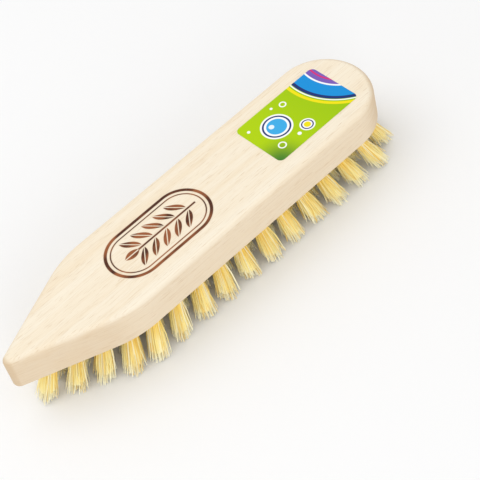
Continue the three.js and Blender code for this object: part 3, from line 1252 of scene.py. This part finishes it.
    def _bunch(self, tuft: Tuft, draw: random.Random) -> bpy.types.Mesh:
        """Makes one tuft, which leans a little its own way.

        Args:
            tuft: Its place and lean.
            draw: Source of its fibres' differences.

        Returns:
            The tuft's mesh.
        """
        own_lean = Vector((draw.uniform(-1.0, 1.0), draw.uniform(-1.0, 1.0))) * self.lean_spread
        tuft = Tuft(tuft.foot, tuft.lean + own_lean)
        bm = bmesh.new()
        bm.verts.layers.float.new(ALONG)
        bm.verts.layers.float.new(TONE)
        self._grow_fibres(bm, tuft, draw)
        self._fill_core(bm, tuft, draw)
        bmesh.ops.recalc_face_normals(bm, faces=bm.faces)
        mesh = bpy.data.meshes.new("tuft")
        bm.to_mesh(mesh)
        bm.free()
        return mesh

    def build(self, rows: dict[Row, list[Tuft]], finish: Finish) -> list[Piece]:
        """Builds and dresses one piece for each row.

        Args:
            rows: Tufts of each row.
            finish: Finish of the fibre.

        Returns:
            The new pieces.
        """
        material = finish.make()
        draw = random.Random(self.seed)
        pieces = []
        for row, tufts in rows.items():
            bm = bmesh.new()
            for tuft in tufts:
                mesh = self._bunch(tuft, draw)
                bm.from_mesh(mesh)
                bpy.data.meshes.remove(mesh)
            # Fibres stay flat-shaded: smooth shading would darken shapes of so few sides.
            piece = finished_piece(f"fibre_tufts_{row.value}", bm, material, smooth=False)
            pieces.append(hand_over(piece, "bristle_tufts"))
        return pieces


@dataclass
class PaperLabel:
    """The label: a thin die-cut sheet with rounded corners, stuck flat on the block's back."""

    corner_radius: float = 3.0
    corner_segments: int = 10
    edge_round: float = 0.04
    edge_segments: int = 2

    def build(self) -> Piece:
        """Builds and dresses the label.

        Returns:
            The new piece.
        """
        low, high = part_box("paper_label")
        centre = (low + high) / 2
        bm = bmesh.new()
        bmesh.ops.create_grid(bm, x_segments=1, y_segments=1, size=0.5)
        bmesh.ops.scale(bm, verts=bm.verts, vec=(high.x - low.x, high.y - low.y, 1.0))
        bmesh.ops.translate(bm, verts=bm.verts, vec=(centre.x, centre.y, low.z))
        bmesh.ops.bevel(
            bm, geom=bm.verts, offset=self.corner_radius * MM, offset_type="OFFSET",
            segments=self.corner_segments, profile=0.5, affect="VERTICES", material=-1,
        )
        _, top = draw_out(bm, bm.faces[:], keep=True)
        bmesh.ops.translate(bm, verts=top, vec=(0.0, 0.0, high.z - low.z))
        bmesh.ops.recalc_face_normals(bm, faces=bm.faces)
        rim = [e for e in bm.edges if all(v.co.z > centre.z for v in e.verts)]
        bmesh.ops.bevel(
            bm, geom=rim, offset=self.edge_round * MM, offset_type="OFFSET",
            segments=self.edge_segments, profile=0.5, affect="EDGES", material=-1,
        )
        finish = PrintedPaper(centre=tuple(centre / MM))
        piece = finished_piece("printed_label", bm, finish.make())
        even_shading(piece)
        return hand_over(piece, "paper_label")


@dataclass
class WireAnchors:
    """The flat wire anchors of the tufts. Their CAD nodes stay and take a better finish."""

    prefix: str = "anchor_"

    def dress(self, finish: Finish) -> None:
        """Gives every anchor the wire's finish.

        Args:
            finish: Finish of the wire.
        """
        material = finish.make()
        anchors = [node for name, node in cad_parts.items() if name.startswith(self.prefix)]
        for anchor in anchors:
            anchor.data.materials.clear()
            anchor.data.materials.append(material)
        LOG.info("%d wire anchors dressed", len(anchors))


@dataclass
class Lamp:
    """A soft square studio lamp. Its place and side are in metres and its power in watts."""

    name: str
    place: Size
    side: float
    power: float

    def hang(self) -> None:
        """Hangs the lamp, pointing at the brush."""
        light = bpy.data.lights.new(self.name, "AREA")
        light.size = self.side
        light.energy = self.power
        lamp = bpy.data.objects.new(self.name, light)
        lamp.location = self.place
        lamp.rotation_euler = (-lamp.location).to_track_quat("-Z", "Y").to_euler()
        bpy.context.scene.collection.objects.link(lamp)


@dataclass
class Studio:
    """A pale floor, soft lamps, a white surround and the camera."""

    floor_side: float = 6000.0
    surround: str = "#FFFFFF"
    surround_strength: float = 0.8
    lamps: tuple[Lamp, ...] = (
        Lamp("overhead_lamp", place=(-0.4, 0.3, 1.2), side=1.1, power=3.9),
        Lamp("front_lamp", place=(-0.6, -1.4, 0.7), side=0.7, power=4.2),
    )
    camera_from_nose: Size = (-129.88, -460.11, 623.05)
    camera_right: Size = (0.71356, -0.67570, -0.18513)
    camera_up: Size = (0.61801, 0.48261, 0.62060)
    camera_back: Size = (-0.32999, -0.55724, 0.76196)
    lens: float = 118.8
    sensor: float = 36.0
    clip_start: float = 10.0

    def _lay_floor(self) -> None:
        """Lays the floor under the fibre tips."""
        bm = bmesh.new()
        bmesh.ops.create_grid(bm, x_segments=1, y_segments=1, size=self.floor_side / 2 * MM)
        floor = finished_piece("floor", bm, PaleFloor().make())

    def _set_surround(self) -> None:
        """Sets a plain white surround, which lights the brush evenly from all sides."""
        world = bpy.data.worlds.new("white_surround")
        world.use_nodes = True
        tree = world.node_tree
        sockets = {"Color": linear(self.surround), "Strength": self.surround_strength}
        set_inputs(tree, tree.nodes["Background"], sockets)
        bpy.context.scene.world = world

    def _place_camera(self) -> None:
        """Places the camera at the photograph's viewing angle."""
        data = bpy.data.cameras.new("camera")
        data.lens = self.lens
        data.sensor_width = self.sensor
        data.clip_start = self.clip_start * MM
        camera = bpy.data.objects.new("camera", data)
        turn = Matrix((self.camera_right, self.camera_up, self.camera_back)).transposed()
        nose = Vector((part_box("wooden_block")[0].x, 0.0, 0.0))
        place = nose + Vector(self.camera_from_nose) * MM
        camera.matrix_world = Matrix.Translation(place) @ turn.to_4x4()
        bpy.context.scene.collection.objects.link(camera)
        bpy.context.scene.camera = camera

    def build(self) -> None:
        """Sets up the floor, the lamps, the surround, the camera and the view."""
        self._lay_floor()
        for lamp in self.lamps:
            lamp.hang()
        self._set_surround()
        self._place_camera()
        bpy.context.scene.view_settings.view_transform = "Standard"


def main() -> None:
    """Builds the brush and its studio."""
    logging.basicConfig(level=logging.INFO, format="%(name)s: %(message)s")
    Studio().build()
    block = WoodenBlock()
    rows = TuftPlan(block).rows()
    tufts = [tuft for members in rows.values() for tuft in members]
    LOG.info("%d tufts in %d rows", len(tufts), len(rows))
    block.build(tufts, SandedBeech())
    PaperLabel().build()
    FibreTufts().build(rows, PlantFibre())
    WireAnchors().dress(FlatWire())


if __name__ == "__main__":
    main()
